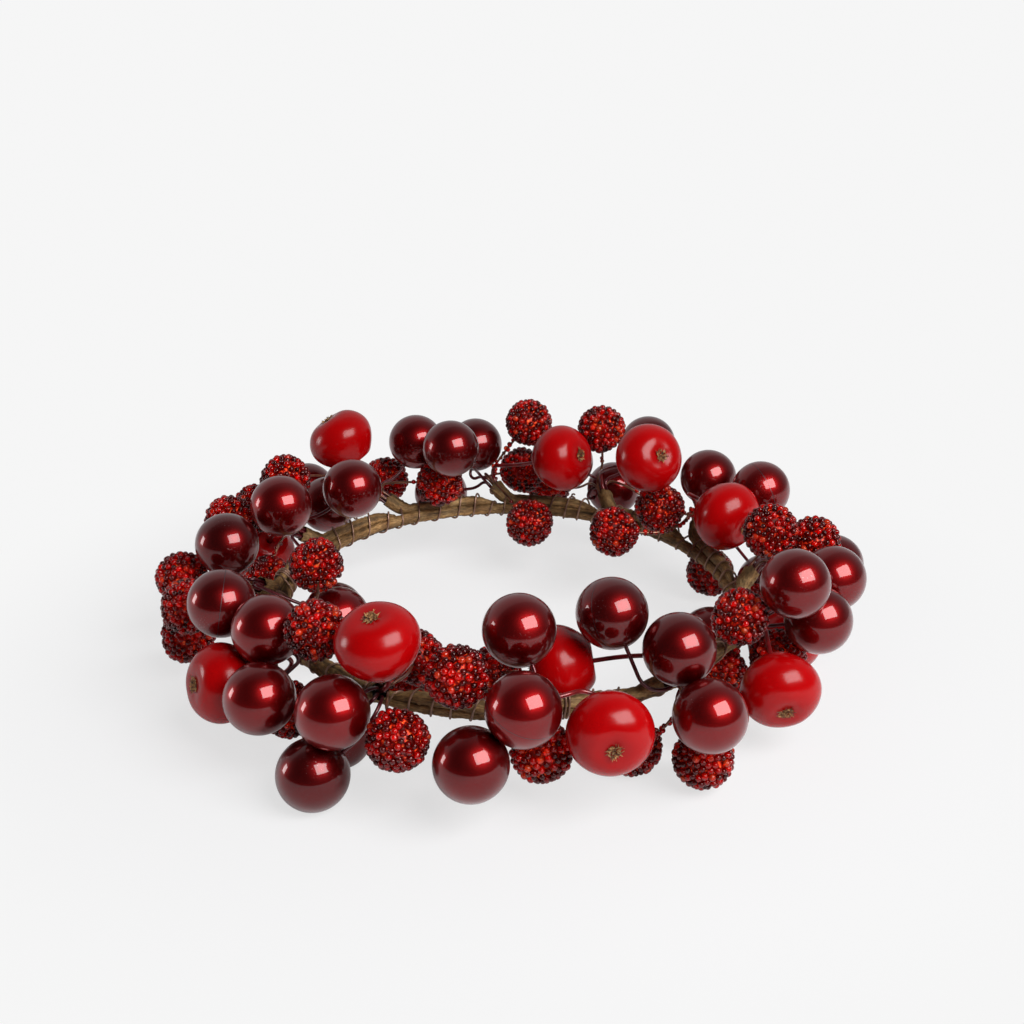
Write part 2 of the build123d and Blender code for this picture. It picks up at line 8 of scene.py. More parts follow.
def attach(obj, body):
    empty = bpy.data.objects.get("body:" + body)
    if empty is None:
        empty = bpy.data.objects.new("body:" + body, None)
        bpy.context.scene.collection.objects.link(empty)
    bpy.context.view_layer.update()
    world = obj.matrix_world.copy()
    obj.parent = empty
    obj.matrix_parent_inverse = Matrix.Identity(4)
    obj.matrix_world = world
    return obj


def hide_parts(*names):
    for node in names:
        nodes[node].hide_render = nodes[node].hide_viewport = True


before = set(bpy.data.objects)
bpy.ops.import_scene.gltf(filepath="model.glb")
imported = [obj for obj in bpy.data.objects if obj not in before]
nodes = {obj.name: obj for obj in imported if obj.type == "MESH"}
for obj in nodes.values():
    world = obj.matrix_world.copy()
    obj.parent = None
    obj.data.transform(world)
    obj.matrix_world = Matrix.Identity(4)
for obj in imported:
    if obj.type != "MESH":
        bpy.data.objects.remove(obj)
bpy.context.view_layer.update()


# The hoop's core: one turn of plain drawn steel wire, closed into a ring.
# The paper tape hides it, so it keeps its solid and gets a drawn-wire finish.
class Tree:
    """A node tree in the making, and a short way to add nodes to it."""

    def __init__(self, tree):
        self.tree = tree

    def add(self, kind, values=None, **settings):
        node = self.tree.nodes.new(kind)
        for key, value in settings.items():
            setattr(node, key, value)
        for key, value in (values or {}).items():
            self.put(node.inputs[key], value)
        return node

    def put(self, socket, value):
        """Gives a socket its value, or links another node's socket to it."""
        if isinstance(value, bpy.types.NodeSocket):
            self.tree.links.new(value, socket)
        else:
            socket.default_value = value

    def math(self, operation, first, second=0.0, third=0.0, clamp=False):
        node = self.add("ShaderNodeMath", {0: first, 1: second, 2: third},
                        operation=operation, use_clamp=clamp)
        return node.outputs[0]

    def scaled(self, value, factor, added):
        return self.math("MULTIPLY_ADD", value, factor, added)


class Finish(Tree):
    """A material in the making, with its shader."""

    def __init__(self, name):
        self.material = bpy.data.materials.new(name)
        self.material.use_nodes = True
        super().__init__(self.material.node_tree)
        self.shader = self.tree.nodes["Principled BSDF"]
        self.place = self.add("ShaderNodeTexCoord").outputs["Object"]

    def set(self, **values):
        """Shader sockets, with underscores for the spaces in their names."""
        for key, value in values.items():
            self.put(self.shader.inputs[key.replace("_", " ")], value)

    def written(self, name, output="Fac"):
        """An attribute that the mesh carries."""
        return self.add("ShaderNodeAttribute", attribute_name=name).outputs[output]

    def noise(self, scale, detail, roughness=0.5, place=None):
        node = self.add("ShaderNodeTexNoise", {
            "Vector": place or self.place, "Scale": scale, "Detail": detail,
            "Roughness": roughness})
        return node.outputs["Fac"]

    def ramp(self, factor, stops):
        ramp = self.add("ShaderNodeValToRGB", {"Fac": factor})
        elements = ramp.color_ramp.elements
        while len(elements) < len(stops):
            elements.new(0.5)
        for element, (place, colour) in zip(elements, stops):
            element.position = place
            element.color = (*colour, 1.0)
        return ramp.outputs["Color"]

    def mix(self, factor, first, second, blend_type="MIX"):
        node = self.add("ShaderNodeMix", {"Factor": factor, 6: first, 7: second},
                        data_type="RGBA", blend_type=blend_type)
        return node.outputs[2]

    def bump(self, height, strength, distance):
        node = self.add("ShaderNodeBump", {
            "Height": height, "Strength": strength, "Distance": distance})
        self.set(Normal=node.outputs["Normal"])


steel = Finish("drawn_steel")
draw_lines = steel.noise(900.0, 3.0)
steel.set(
    Base_Color=steel.ramp(draw_lines, [(0.3, (0.36, 0.35, 0.33)), (0.7, (0.52, 0.51, 0.49))]),
    Metallic=1.0, Roughness=steel.scaled(draw_lines, 0.3, 0.5))
nodes["hoop_wire"].data.materials.clear()
nodes["hoop_wire"].data.materials.append(steel.material)


# The hoop's tape: a strip of olive-brown crinkled paper, wound on in a spiral so that
# each lap covers the edge of the last. The wax in it makes it cling and lie in furrows.
hoop_radius = 0.059
hoop_height = 0.017
hoop_thickness = 0.0034
hoop_steps = 900
hoop_lap_pitch = 0.0062
hoop_join_turn = 0.15
tape_sides = 28
tape_tuck = 0.00004
lap_height = 0.00016
furrow_height = 0.00015
crinkle_height = 0.000026
# Furrows by their waves round the section. How they drift and swell along the strip, and the
# crinkles across it, are in radians for each metre.
furrow_waves = range(2, 9)
furrow_drifts = (-180, 180)
furrow_swells = (150, 420)
crinkle_count = 7
crinkle_waves = (1500, 5200)
crinkle_slants = (-3, 4)
any_phase = (0, 6.3)
grain_along = 350
grain_across = 3.2
upward = np.array([0, 0, 1.0])


def new_mesh(name, points, edges=(), faces=()):
    mesh = bpy.data.meshes.new(name)
    mesh.from_pydata(np.reshape(points, (-1, 3)).tolist(), edges, faces)
    if faces:
        mesh.shade_smooth()
    return mesh


def new_piece(name, mesh, material=None):
    piece = bpy.data.objects.new(name, mesh)
    bpy.context.scene.collection.objects.link(piece)
    if material:
        mesh.materials.append(material)
    return piece


def write_values(mesh, name, values):
    attribute = mesh.attributes.new(name, "FLOAT", "POINT")
    attribute.data.foreach_set("value", np.asarray(values, np.float32).ravel())


def write_places(mesh, name, places):
    attribute = mesh.attributes.new(name, "FLOAT_VECTOR", "POINT")
    attribute.data.foreach_set("vector", np.asarray(places, np.float32).ravel())


def wound_places(along, turns):
    """Places on the paper for its grain: stretched out along the strip, tight across it."""
    return np.stack([np.repeat(along, len(turns)) * grain_along,
                     np.tile(np.cos(turns), len(along)) * grain_across,
                     np.tile(np.sin(turns), len(along)) * grain_across], axis=1)


def grid_faces(rows, columns, wrap_rows=False):
    """Faces between rows of points, each row closed round."""
    faces = []
    for row in range(rows if wrap_rows else rows - 1):
        after = (row + 1) % rows
        for column in range(columns):
            beside = (column + 1) % columns
            faces.append((row * columns + column, row * columns + beside,
                          after * columns + beside, after * columns + column))
    return faces


def turned_round(faces):
    return [face[::-1] for face in faces]


def tape_relief(along, turns, seed, lap_pitch):
    """How far the wound paper stands up: spiral laps, long furrows and fine crinkles."""
    chance = np.random.default_rng(seed)
    along, turns = along[:, None], turns[None, :]
    laps = lap_height * ((turns / (2 * math.pi) + along / lap_pitch) % 1.0 - 0.5)
    furrow = np.zeros_like(laps)
    for waves in furrow_waves:
        drift = chance.uniform(*furrow_drifts)
        swell = np.sin(along * chance.uniform(*furrow_swells) + chance.uniform(*any_phase))
        furrow += (0.55 + 0.45 * swell) * np.sin(
            waves * turns + drift * along + chance.uniform(*any_phase)) / waves
    crinkle = np.zeros_like(laps)
    for number in range(crinkle_count):
        crinkle += np.sin(along * chance.uniform(*crinkle_waves)
                          + chance.integers(*crinkle_slants) * turns + chance.uniform(*any_phase))
    return laps + furrow * furrow_height + crinkle * crinkle_height, furrow


tape = Finish("floral_paper_tape")
blotches = tape.noise(260.0, 4.0, 0.6)
fibres = tape.noise(1.6, 5.0, 0.7, place=tape.written("wound", "Vector"))
paper = tape.ramp(blotches, [
    (0.25, (0.18, 0.086, 0.029)), (0.5, (0.41, 0.226, 0.086)), (0.75, (0.62, 0.40, 0.175))])
# The paper is painted darker in the hollows of its furrows and lighter on their ridges, as shade
# and light; the fibres add the paper's real grain streaks.
painted_furrow_shade = tape.scaled(tape.written("furrow"), 0.50, 0.60)
grain_and_painted_shade = tape.math("MULTIPLY", painted_furrow_shade, tape.scaled(fibres, 3.4, -0.84), clamp=True)
tape.set(Base_Color=tape.mix(1.0, paper, grain_and_painted_shade, "MULTIPLY"), Roughness=0.62,
         Specular_IOR_Level=0.25)
tape.bump(fibres, 0.6, 0.0003)

turn = np.linspace(0, 2 * math.pi, hoop_steps, endpoint=False)
ring_turns = np.linspace(0, 2 * math.pi, tape_sides, endpoint=False)
hoop_along = turn * hoop_radius
hoop_length = 2 * math.pi * hoop_radius
whole_laps = round(hoop_length / hoop_lap_pitch)
relief, furrows = tape_relief(hoop_along, ring_turns, 3, hoop_length / whole_laps)
# The laps flatten out at the join, where the strip's start and end meet.
from_join = np.clip(np.minimum(turn, 2 * math.pi - turn) / hoop_join_turn, 0, 1)[:, None]
radii = hoop_thickness / 2 + relief * from_join - tape_tuck
out = np.stack([np.cos(turn), np.sin(turn), np.zeros(hoop_steps)], axis=1)
hoop_path = out * hoop_radius + upward * hoop_height
ring = (np.cos(ring_turns)[None, :, None] * out[:, None]
        + np.sin(ring_turns)[None, :, None] * upward)
mesh = new_mesh("hoop_wrapping", hoop_path[:, None] + ring * radii[:, :, None],
                faces=turned_round(grid_faces(hoop_steps, tape_sides, wrap_rows=True)))
# The furrows are kept on the mesh too, to paint shade in their hollows.
write_values(mesh, "furrow", furrows)
write_places(mesh, "wound", wound_places(hoop_along, ring_turns))
hoop_wrapping = new_piece("hoop_wrapping", mesh, tape.material)
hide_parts("hoop_tape")
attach(hoop_wrapping, "root")


# Twelve picks lie round the hoop, all pointing the same way. Each one's stems are rolled
# together in the same paper tape: a long tail on the hoop, then a short flared neck.
pick_count = 12
pick_turn = 360 / pick_count
first_pick_angle = 4.0
tail_start_turn = -30.0
neck_start_turn = -6.0
tail_thickness = 0.0031
tail_offset = 0.0029
tail_steps = 60
tail_lap_pitch = 0.0041
neck_tilt = math.radians(45)
neck_lean = math.radians(50)
neck_bend_radius = 0.0057
neck_bend_steps = 14
neck_run = 0.0035
neck_run_steps = 9
mouth_thickness = 0.0044
mouth_edge = 0.0004
mouth_rag = 0.00045
mouth_fine_rag = 0.00030
grain_shift = 0.05
# By share of the tail's length: how far off the hoop it is, as a share of tail_offset.
tail_shares = (0, 0.25, 0.75, 1)
tail_presses = (0.55, 0.9, 0.92, 1)
# By the run from the tail's start: its thickness there, which grows from a thin closed tip.
tip_runs = (0, 0.0015, 0.006)
tip_swells = (0.3, 0.6, 1)
tip_end = 0.02
# By share of the neck's length: how far its thickness has grown to the mouth's.
neck_shares = (0, 0.18, 0.36, 0.52, 1)
neck_swells = (0, 0.25, 0.75, 1, 1)
# Inside the mouth, where the tape is tucked in round the stems: how deep, and how narrow.
mouth_rows = ((0.0, 0.86), (0.0012, 0.80), (0.0026, 0.74), (0.0030, 0.02))
# How much darker the inside of the mouth is painted, as shade in the recess.
mouth_shade = 1.2
# How far round the hoop's section the tail lies, by degrees before its pick's place:
# 90 is on top of the hoop, 0 is outside it.
tilt_turns = (-30, -26, -14, neck_start_turn, -2, 0)
tail_tilts = (60, 76, 72, 45, 50, 60)


def outward(degrees):
    return np.array([math.cos(math.radians(degrees)), math.sin(math.radians(degrees)), 0.0])


def around(degrees):
    return np.array([-math.sin(math.radians(degrees)), math.cos(math.radians(degrees)), 0.0])


def turn_before_pick(degrees):
    return (degrees - first_pick_angle) % pick_turn - pick_turn


def bundle_sides(degrees):
    """The way from the hoop to the tail on it, and the way across: the tail lies nearly on
    top of the hoop and leans outwards only where its neck begins."""
    tilt = math.radians(np.interp(turn_before_pick(degrees), tilt_turns, tail_tilts))
    return (outward(degrees) * math.cos(tilt) + upward * math.sin(tilt),
            upward * math.cos(tilt) - outward(degrees) * math.sin(tilt))


def hoop_middle(degrees):
    return outward(degrees) * hoop_radius + upward * hoop_height


def beside_hoop(degrees, offset):
    """A place next to the hoop's centreline, towards the tail by offset."""
    return hoop_middle(degrees) + bundle_sides(degrees)[0] * offset


def tube_rows(path, radii, turns):
    """Rows of points round a path, without twist: radii has a row for each place on it."""
    ahead = np.gradient(path, axis=0)
    ahead /= np.linalg.norm(ahead, axis=1)[:, None]
    side = np.cross(ahead[0], (0, 0, 1))
    sides = []
    for step in ahead:
        side = side - np.dot(side, step) * step
        side = side / np.linalg.norm(side)
        sides.append(side)
    sides = np.array(sides)
    ups = np.cross(ahead, sides)
    ring = (np.cos(turns)[None, :, None] * sides[:, None]
            + np.sin(turns)[None, :, None] * ups[:, None])
    return path[:, None] + ring * radii[:, :, None]


for pick in range(pick_count):
    pick_angle = first_pick_angle + pick * pick_turn
    start_angle = pick_angle + neck_start_turn
    tail = []
    for share in np.linspace(0, 1, tail_steps):
        pressed = np.interp(share, tail_shares, tail_presses)
        degrees = pick_angle + tail_start_turn + (neck_start_turn - tail_start_turn) * share
        tail.append(beside_hoop(degrees, tail_offset * pressed))
    ahead = around(start_angle)
    aside = outward(start_angle) * math.cos(neck_tilt) + upward * math.sin(neck_tilt)
    neck = []
    for lean in np.linspace(0, neck_lean, neck_bend_steps)[1:]:
        neck.append(tail[-1] + ahead * neck_bend_radius * math.sin(lean)
                    + aside * neck_bend_radius * (1 - math.cos(lean)))
    neck_way = ahead * math.cos(neck_lean) + aside * math.sin(neck_lean)
    bend_end = neck[-1]
    for share in np.linspace(0, 1, neck_run_steps)[1:]:
        neck.append(bend_end + neck_way * neck_run * share)
    path = np.array(tail + neck)
    run = np.concatenate([[0], np.cumsum(np.linalg.norm(np.diff(path, axis=0), axis=1))])
    tail_run = run[len(tail) - 1]
    neck_share = np.clip((run - tail_run) / (run[-1] - tail_run), 0, 1)
    swell = np.interp(neck_share, neck_shares, neck_swells)
    thickness = tail_thickness + (mouth_thickness - tail_thickness) * swell
    thickness *= np.interp(run, tip_runs, tip_swells)
    relief, furrows = tape_relief(run, ring_turns, 11 + pick, tail_lap_pitch)
    rows = tube_rows(path, thickness[:, None] / 2 + relief - tape_tuck, ring_turns)
    lip = rows[-1]
    ragged = (mouth_rag * np.sin(ring_turns * 3 + pick)
              + mouth_fine_rag * np.sin(ring_turns * 7 + 2 * pick) - mouth_edge)[:, None]
    skin = [path[0] + (rows[0] - path[0]) * tip_end, *rows[:-1], lip + neck_way * ragged]
    furrow_rows = [furrows[0], *furrows]
    for depth, width in mouth_rows:
        skin.append(path[-1] + (lip - path[-1]) * width
                    - neck_way * (depth - ragged * (depth == 0)))
        # Inside the mouth the furrow value is lowered, so the tape there is painted darker as
        # shade.
        furrow_rows.append(furrows[-1] - mouth_shade)
    run_rows = np.concatenate([[0], run, run[-1:].repeat(len(mouth_rows))])
    mesh = new_mesh(f"pick_{pick + 1:02d}_wrapping", skin,
                    faces=grid_faces(len(skin), tape_sides))
    write_places(mesh, "wound", wound_places(run_rows + pick * grain_shift, ring_turns))
    write_values(mesh, "furrow", np.array(furrow_rows))
    piece = new_piece(mesh.name, mesh, tape.material)
    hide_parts(f"pick_{pick + 1:02d}_tape")
    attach(piece, "root")


# The binding: one long thin brown wire wound round the hoop and the tails of the picks,
# tight over each tail, closer and wider apart as the hand happened to go.
wire_radius = 0.000275
wire_sides = 10
binding_start_angle = first_pick_angle - 8.0
binding_whole_turn = 345.0
binding_turns = 72
binding_pitches = (0.75, 1.6)
paired_share = 0.22
paired_pitch = 0.16
slack_range = (-0.00010, 0.00008)
points_per_turn = 40
# How far a tail pushes the wire out, by degrees before its pick's place.
reach_turns = (-30, -29, -26.5, -6, -3.5, -1.5, -0.5, 0)
reach_shares = (0.1, 0.2, 1.0, 1.0, 1.12, 0.5, 0.15, 0.1)


class Growth(Tree):
    """A geometry node tree in the making, with named inputs."""

    def __init__(self, name):
        super().__init__(bpy.data.node_groups.new(name, "GeometryNodeTree"))
        for way in ("INPUT", "OUTPUT"):
            self.tree.interface.new_socket(
                "Geometry", in_out=way, socket_type="NodeSocketGeometry")
        self.source = self.tree.nodes.new("NodeGroupInput")
        self.result = self.tree.nodes.new("NodeGroupOutput")
        self.given = self.source.outputs["Geometry"]

    def input(self, name, kind="NodeSocketFloat"):
        self.tree.interface.new_socket(name, in_out="INPUT", socket_type=kind)
        return self.source.outputs[name]

    def finish(self, geometry, material):
        realized = self.add("GeometryNodeRealizeInstances", {"Geometry": geometry})
        painted = self.add("GeometryNodeSetMaterial", {
            "Geometry": realized.outputs[0], "Material": material})
        self.put(self.result.inputs["Geometry"], painted.outputs[0])

    def grow(self, name, mesh, sizes):
        """Runs the tree on a mesh and keeps the result as a plain piece."""
        carrier = bpy.data.objects.new(name + "_carrier", mesh)
        bpy.context.scene.collection.objects.link(carrier)
        modifier = carrier.modifiers.new("grow", "NODES")
        modifier.node_group = self.tree
        for item in self.tree.interface.items_tree:
            if item.in_out == "INPUT" and item.name in sizes:
                modifier[item.identifier] = sizes[item.name]
        evaluated = carrier.evaluated_get(bpy.context.evaluated_depsgraph_get())
        shape = bpy.data.meshes.new_from_object(evaluated)
        carrier.modifiers.remove(modifier)
        bpy.data.objects.remove(carrier)
        shape.name = name
        return new_piece(name, shape)


chance = np.random.default_rng(20)
pitches = chance.uniform(*binding_pitches, binding_turns)
pitches[chance.random(binding_turns) < paired_share] = paired_pitch
pitches *= binding_whole_turn / pitches.sum()
turn_angles = binding_start_angle + np.concatenate([[0], np.cumsum(pitches)])
slack = np.concatenate([chance.uniform(*slack_range, binding_turns), [0.0]])
turn_numbers = np.arange(binding_turns + 1)
points = []
for step in range(binding_turns * points_per_turn + 1):
    turns = step / points_per_turn
    wound = 2 * math.pi * turns
    degrees = np.interp(turns, turn_numbers, turn_angles)
    aside, across = bundle_sides(degrees)
    reach = np.interp(turn_before_pick(degrees), reach_turns, reach_shares)
    towards_tail = 0.5 + 0.5 * math.cos(wound)
    towards_tail = towards_tail * towards_tail * (3 - 2 * towards_tail)
    under_wire = (hoop_thickness / 2 * (1 - towards_tail) + tail_thickness / 2 * towards_tail)
    room = under_wire + wire_radius + np.interp(turns, turn_numbers, slack)
    points.append(hoop_middle(degrees) + aside * tail_offset * reach * towards_tail
                  + (aside * math.cos(wound) + across * math.sin(wound)) * room)
course_mesh = new_mesh("binding_course", points, [(i, i + 1) for i in range(len(points) - 1)])

brown_wire = Finish("brown_enamelled_wire")
rubbed = brown_wire.noise(420.0, 3.0)
brown_wire.set(
    Base_Color=brown_wire.ramp(rubbed, [(0.3, (0.16, 0.085, 0.058)), (0.7, (0.40, 0.235, 0.165))]),
    Metallic=0.6, Roughness=0.36)

wire_tree = Growth("wire_along_a_course")
radius_in = wire_tree.input("Radius")
sides_in = wire_tree.input("Sides", "NodeSocketInt")
course = wire_tree.add("GeometryNodeMeshToCurve", {"Mesh": wire_tree.given})
section = wire_tree.add("GeometryNodeCurvePrimitiveCircle", {
    "Radius": radius_in, "Resolution": sides_in})
tube = wire_tree.add("GeometryNodeCurveToMesh", {
    "Curve": course.outputs[0], "Profile Curve": section.outputs[0], "Fill Caps": True})
smooth = wire_tree.add("GeometryNodeSetShadeSmooth", {"Geometry": tube.outputs[0]})
wire_tree.finish(smooth.outputs[0], brown_wire.material)
binding = wire_tree.grow("binding_winding", course_mesh,
                         {"Radius": wire_radius, "Sides": wire_sides})
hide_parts("binding_wire")
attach(binding, "root")

# Where a new length of wire was started, its cut end stands off the tape in a small curl.
curl_angles = (71.0, 94.5, 137.0, 140.5, 201.0, 262.0, 318.0, 21.0)
curl_radii = (0.00065, 0.00077, 0.00089)
curl_start = -30
curl_step = 14
curl_steps = 18
curl_rise = 0.00007
points, edges = [], []
for number, degrees in enumerate(curl_angles):
    aside, across = bundle_sides(degrees)
    foot = beside_hoop(degrees, tail_offset + tail_thickness / 2)
    curl_radius = curl_radii[number % len(curl_radii)]
    first = len(points)
    for step in range(curl_steps + 1):
        turn = math.radians(curl_start + curl_step * step)
        points.append(foot + aside * curl_radius * (1 - math.cos(turn))
                      + around(degrees) * curl_radius * math.sin(turn) + across * curl_rise * step)
    edges += [(first + step, first + step + 1) for step in range(curl_steps)]
curls = wire_tree.grow("binding_wire_ends", new_mesh("curl_course", points, edges),
                       {"Radius": wire_radius * 0.9, "Sides": 8})
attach(curls, "root")


# The glossy berries: balls moulded in two halves, sprayed with deep red pearl lacquer and
# dipped in clear coat. The stem is glued into a drilled hole.
pearl_rows = 44
pearl_columns = 64
# Balls nearer the front are a little larger, by their place along +Y.
ball_places = (-0.07, 0.05)
ball_growths = (1.035, 1.008)
# The drilled hole, from its floor up: radius, and depth under the ball's top.
hole_rows = ((0.0003, 0.0022), (0.00049, 0.0021), (0.00050, 0.0003))
hole_edge = 0.075
closed_end = 0.00001
skin_share = 0.95
drilled_share = 0.8
any_turn = (0, 6.28)
seam_half = 0.011
# The moulding seam shows on a few balls only, by pick and ball: the way square to its plane.
seams_seen = {
    (2, 1): (0.90, 0.30, 0.31), (5, 1): (0.60, -0.35, 0.72), (8, 0): (0.976, 0.118, -0.185),
    (10, 2): (0.35, -0.20, 0.92), (11, 0): (0.80, -0.45, 0.40)}
# Rubbed patches, where a ball has knocked against its neighbours: the way they face.
patches_seen = {
    (2, 1): (-0.10, -0.80, 0.60), (4, 0): (0.60, -0.70, 0.40), (6, 1): (-0.50, -0.80, 0.30),
    (8, 0): (-0.35, -0.90, -0.27), (9, 1): (0.30, -0.90, -0.10), (10, 1): (0.10, -0.99, 0.10),
    (11, 0): (-0.45, -0.70, 0.55), (12, 0): (0.10, -0.80, 0.60)}
patch_strength = 0.9
patch_spread = 0.035
rubbed_through = 0.635


def loose_solids(node):
    """Splits a CAD node's mesh into its separate solids: a list of point arrays."""
    data = nodes[node].data
    co = np.zeros(len(data.vertices) * 3, np.float32)
    data.vertices.foreach_get("co", co)
    corners = np.zeros(len(data.loops), np.int32)
    data.loops.foreach_get("vertex_index", corners)
    co = co.reshape(-1, 3).astype(float)
    spots, same = np.unique(np.round(co, 6), axis=0, return_inverse=True)
    triangles = same.ravel()[corners].reshape(-1, 3)
    label = np.arange(len(spots))
    while True:
        least = label[triangles].min(axis=1)
        new = label.copy()
        for corner in range(3):
            np.minimum.at(new, triangles[:, corner], least)
        new = new[new]
        if (new == label).all():
            break
        label = new
    return [spots[label == value] for value in np.unique(label)]


def ball_of(points):
    """The middle of a drilled ball, its radius, and the way from the middle to its stem."""
    middle = (points.min(axis=0) + points.max(axis=0)) / 2
    for again in range(4):
        away = np.linalg.norm(points - middle, axis=1)
        skin = points[away > away.max() * skin_share]
        matrix = np.column_stack([2 * skin, np.ones(len(skin))])
        middle = np.linalg.lstsq(matrix, (skin ** 2).sum(axis=1), rcond=None)[0][:3]
    away = np.linalg.norm(points - middle, axis=1)
    radius = away.max()
    stem_way = points[away < radius * drilled_share].mean(axis=0) - middle
    return middle, radius, stem_way / np.linalg.norm(stem_way)


def turned_to(way, spin):
    """A matrix that turns +Z to way, after a spin about it."""
    side = np.cross(way, (0.3, 0.5, 0.81) if abs(way[2]) > 0.9 else (0, 0, 1))
    side /= np.linalg.norm(side)
    up = np.cross(way, side)
    right = side * math.cos(spin) + up * math.sin(spin)
    return np.column_stack([right, np.cross(way, right), way])


def lathe(profile, columns):
    """Points and faces of a profile (radius, height) spun about +Z, closed at both ends."""
    rows = [(radius * np.cos(columns), radius * np.sin(columns), np.full(len(columns), height))
            for radius, height in profile]
    faces = turned_round(grid_faces(len(profile), len(columns)))
    return np.array(rows).transpose(0, 2, 1), faces


def moved_faces(faces, start):
    return [tuple(start + corner for corner in face) for face in faces]


pearl = Finish("burgundy_pearl_lacquer")
seam = pearl.math("LESS_THAN", pearl.math("ABSOLUTE", pearl.written("off_seam")), seam_half)
specks = pearl.noise(2400.0, 5.0, 0.65)
rubbed = pearl.math("MULTIPLY", pearl.written("scuff"),
                    pearl.math("GREATER_THAN", specks, rubbed_through), clamp=True)
lacquer = pearl.ramp(pearl.written("tone"), [
    (0.0, (0.115, 0.0003, 0.0009)), (1.0, (0.215, 0.0005, 0.0014))])
cloudy = pearl.mix(1.0, lacquer, pearl.scaled(pearl.noise(140.0, 3.0), 0.5, 0.75), "MULTIPLY")
worn = pearl.mix(rubbed, cloudy, (0.42, 0.22, 0.22, 1))
flakes = pearl.add("ShaderNodeTexVoronoi", {"Vector": pearl.place, "Scale": 9000.0})
pearl.set(
    Base_Color=pearl.mix(seam, worn, (0.11, 0.06, 0.065, 1)), Metallic=0.9,
    Roughness=pearl.scaled(flakes.outputs["Distance"], 0.12, 0.33),
    Coat_Weight=pearl.math("SUBTRACT", 1.0, pearl.math("MAXIMUM", seam, rubbed), clamp=True),
    Coat_Roughness=0.035, Coat_IOR=1.44)

columns = np.linspace(0, 2 * math.pi, pearl_columns, endpoint=False)
spread = np.linspace(hole_edge, math.pi, pearl_rows)[:-1]
chance = np.random.default_rng(7)
for pick in range(pick_count):
    node = f"pick_{pick + 1:02d}_pearls"
    points, faces, seams, scuffs, tones = [], [], [], [], []
    for number, solid in enumerate(loose_solids(node)):
        middle, radius, stem_way = ball_of(solid)
        radius *= np.interp(middle[1], ball_places, ball_growths)
        profile = [(width, radius - depth) for width, depth in hole_rows]
        profile += [(radius * math.sin(a), radius * math.cos(a)) for a in spread]
        profile += [(closed_end, -radius)]
        shape, ball_faces = lathe(profile, columns)
        spin = chance.uniform(*any_turn)
        turned = shape.reshape(-1, 3) @ turned_to(stem_way, spin).T + middle
        faces += moved_faces(ball_faces, sum(len(block) for block in points))
        points.append(turned)
        facing = (turned - middle) / radius
        across = seams_seen.get((pick + 1, number))
        seams.append(facing @ np.array(across) if across else np.ones(len(turned)))
        patch = np.array(patches_seen.get((pick + 1, number), chance.normal(size=3)))
        patch /= np.linalg.norm(patch)
        scuffs.append(patch_strength * np.exp((facing @ patch - 1) / patch_spread))
        tones.append(np.full(len(turned), chance.uniform(0, 1)))
    mesh = new_mesh(node + "_lacquered", np.vstack(points), faces=faces)
    write_values(mesh, "off_seam", np.concatenate(seams))
    write_values(mesh, "scuff", np.concatenate(scuffs))
    write_values(mesh, "tone", np.concatenate(tones))
    piece = new_piece(mesh.name, mesh, pearl.material)
    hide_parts(node)
    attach(piece, "root")


# The small apples: moulded foam fruit dipped in satin red, dimpled at both ends,
# a little lopsided as they come out of the mould.
apple_rows = 56
apple_columns = 72
apple_rounding = 6
# The stem's hole, from its floor up: radius, and depth under the edge of the dimple.
apple_hole_rows = ((0.00045, 0.0022), (0.00060, 0.0006))
apple_end_width = 0.0004
apple_end_rise = 0.0001
# Where its skin is read from the solid: the belt that centres it, and off the drilled hole.
belt_half = 0.003
hole_reach = 0.0010
skin_least = 0.0055
stem_end_turn = 0.13
calyx_end_turn = 0.12
apple_lobes = 5
apple_lobe_swell = 0.010
apple_lopsided = 0.012
apple_shrink = 0.008
lobes_start = 1.7
lobes_over = 1.2
# How far from each end the skin is painted darker, as shade in the dimples.
dimple_shade_turn = 0.5


def apple_ends(points, calyx):
    """The middle of a dimpled apple, and the way from there to its stem."""
    level = (points.min(axis=0) + points.max(axis=0)) / 2
    stem_way = (level - calyx) / np.linalg.norm(level - calyx)
    for again in range(3):
        heights = (points - calyx) @ stem_way
        level = calyx + stem_way * (heights.min() + heights.max()) / 2
        wide = points[np.abs((points - level) @ stem_way) < belt_half]
        flat = wide - np.outer((wide - level) @ stem_way, stem_way)
        side = (flat.min(axis=0) + flat.max(axis=0)) / 2 - level
        level = level + side - np.dot(side, stem_way) * stem_way
        stem_way = (level - calyx) / np.linalg.norm(level - calyx)
    return level, stem_way


def apple_sizes(points, level, stem_way):
    """The apple's outline: how far its skin is from the middle, by the turn from its stem."""
    heights = (points - level) @ stem_way
    reaches = np.linalg.norm(points - level - np.outer(heights, stem_way), axis=1)
    turns, sizes = np.arctan2(reaches, heights), np.hypot(reaches, heights)
    on_skin = (reaches > hole_reach) & (sizes > skin_least)
    order = np.argsort(turns[on_skin])
    turns, sizes = turns[on_skin][order], sizes[on_skin][order]
    spread = np.linspace(max(stem_end_turn, turns[0]),
                         min(math.pi - calyx_end_turn, turns[-1]), apple_rows)
    sizes = np.pad(np.interp(spread, turns, sizes), apple_rounding, mode="edge")
    blur = np.hanning(2 * apple_rounding + 3)[1:-1]
    return spread, np.convolve(sizes, blur / blur.sum(), mode="valid")


apple = Finish("satin_apple_red")
# The skin is painted darker towards both dimpled ends, as shade there, under its random mottle.
skin = apple.ramp(apple.written("dimple_shade"), [
    (0.0, (0.20, 0.0005, 0.001)), (0.35, (0.33, 0.0004, 0.001)), (1.0, (0.38, 0.0005, 0.0013))])
mottle = apple.scaled(apple.noise(120.0, 4.0), 0.35, 0.82)
apple.set(Base_Color=apple.mix(1.0, skin, mottle, "MULTIPLY"), Roughness=0.21,
          Specular_IOR_Level=0.27)
apple.bump(apple.noise(260.0, 2.0), 0.12, 0.0006)

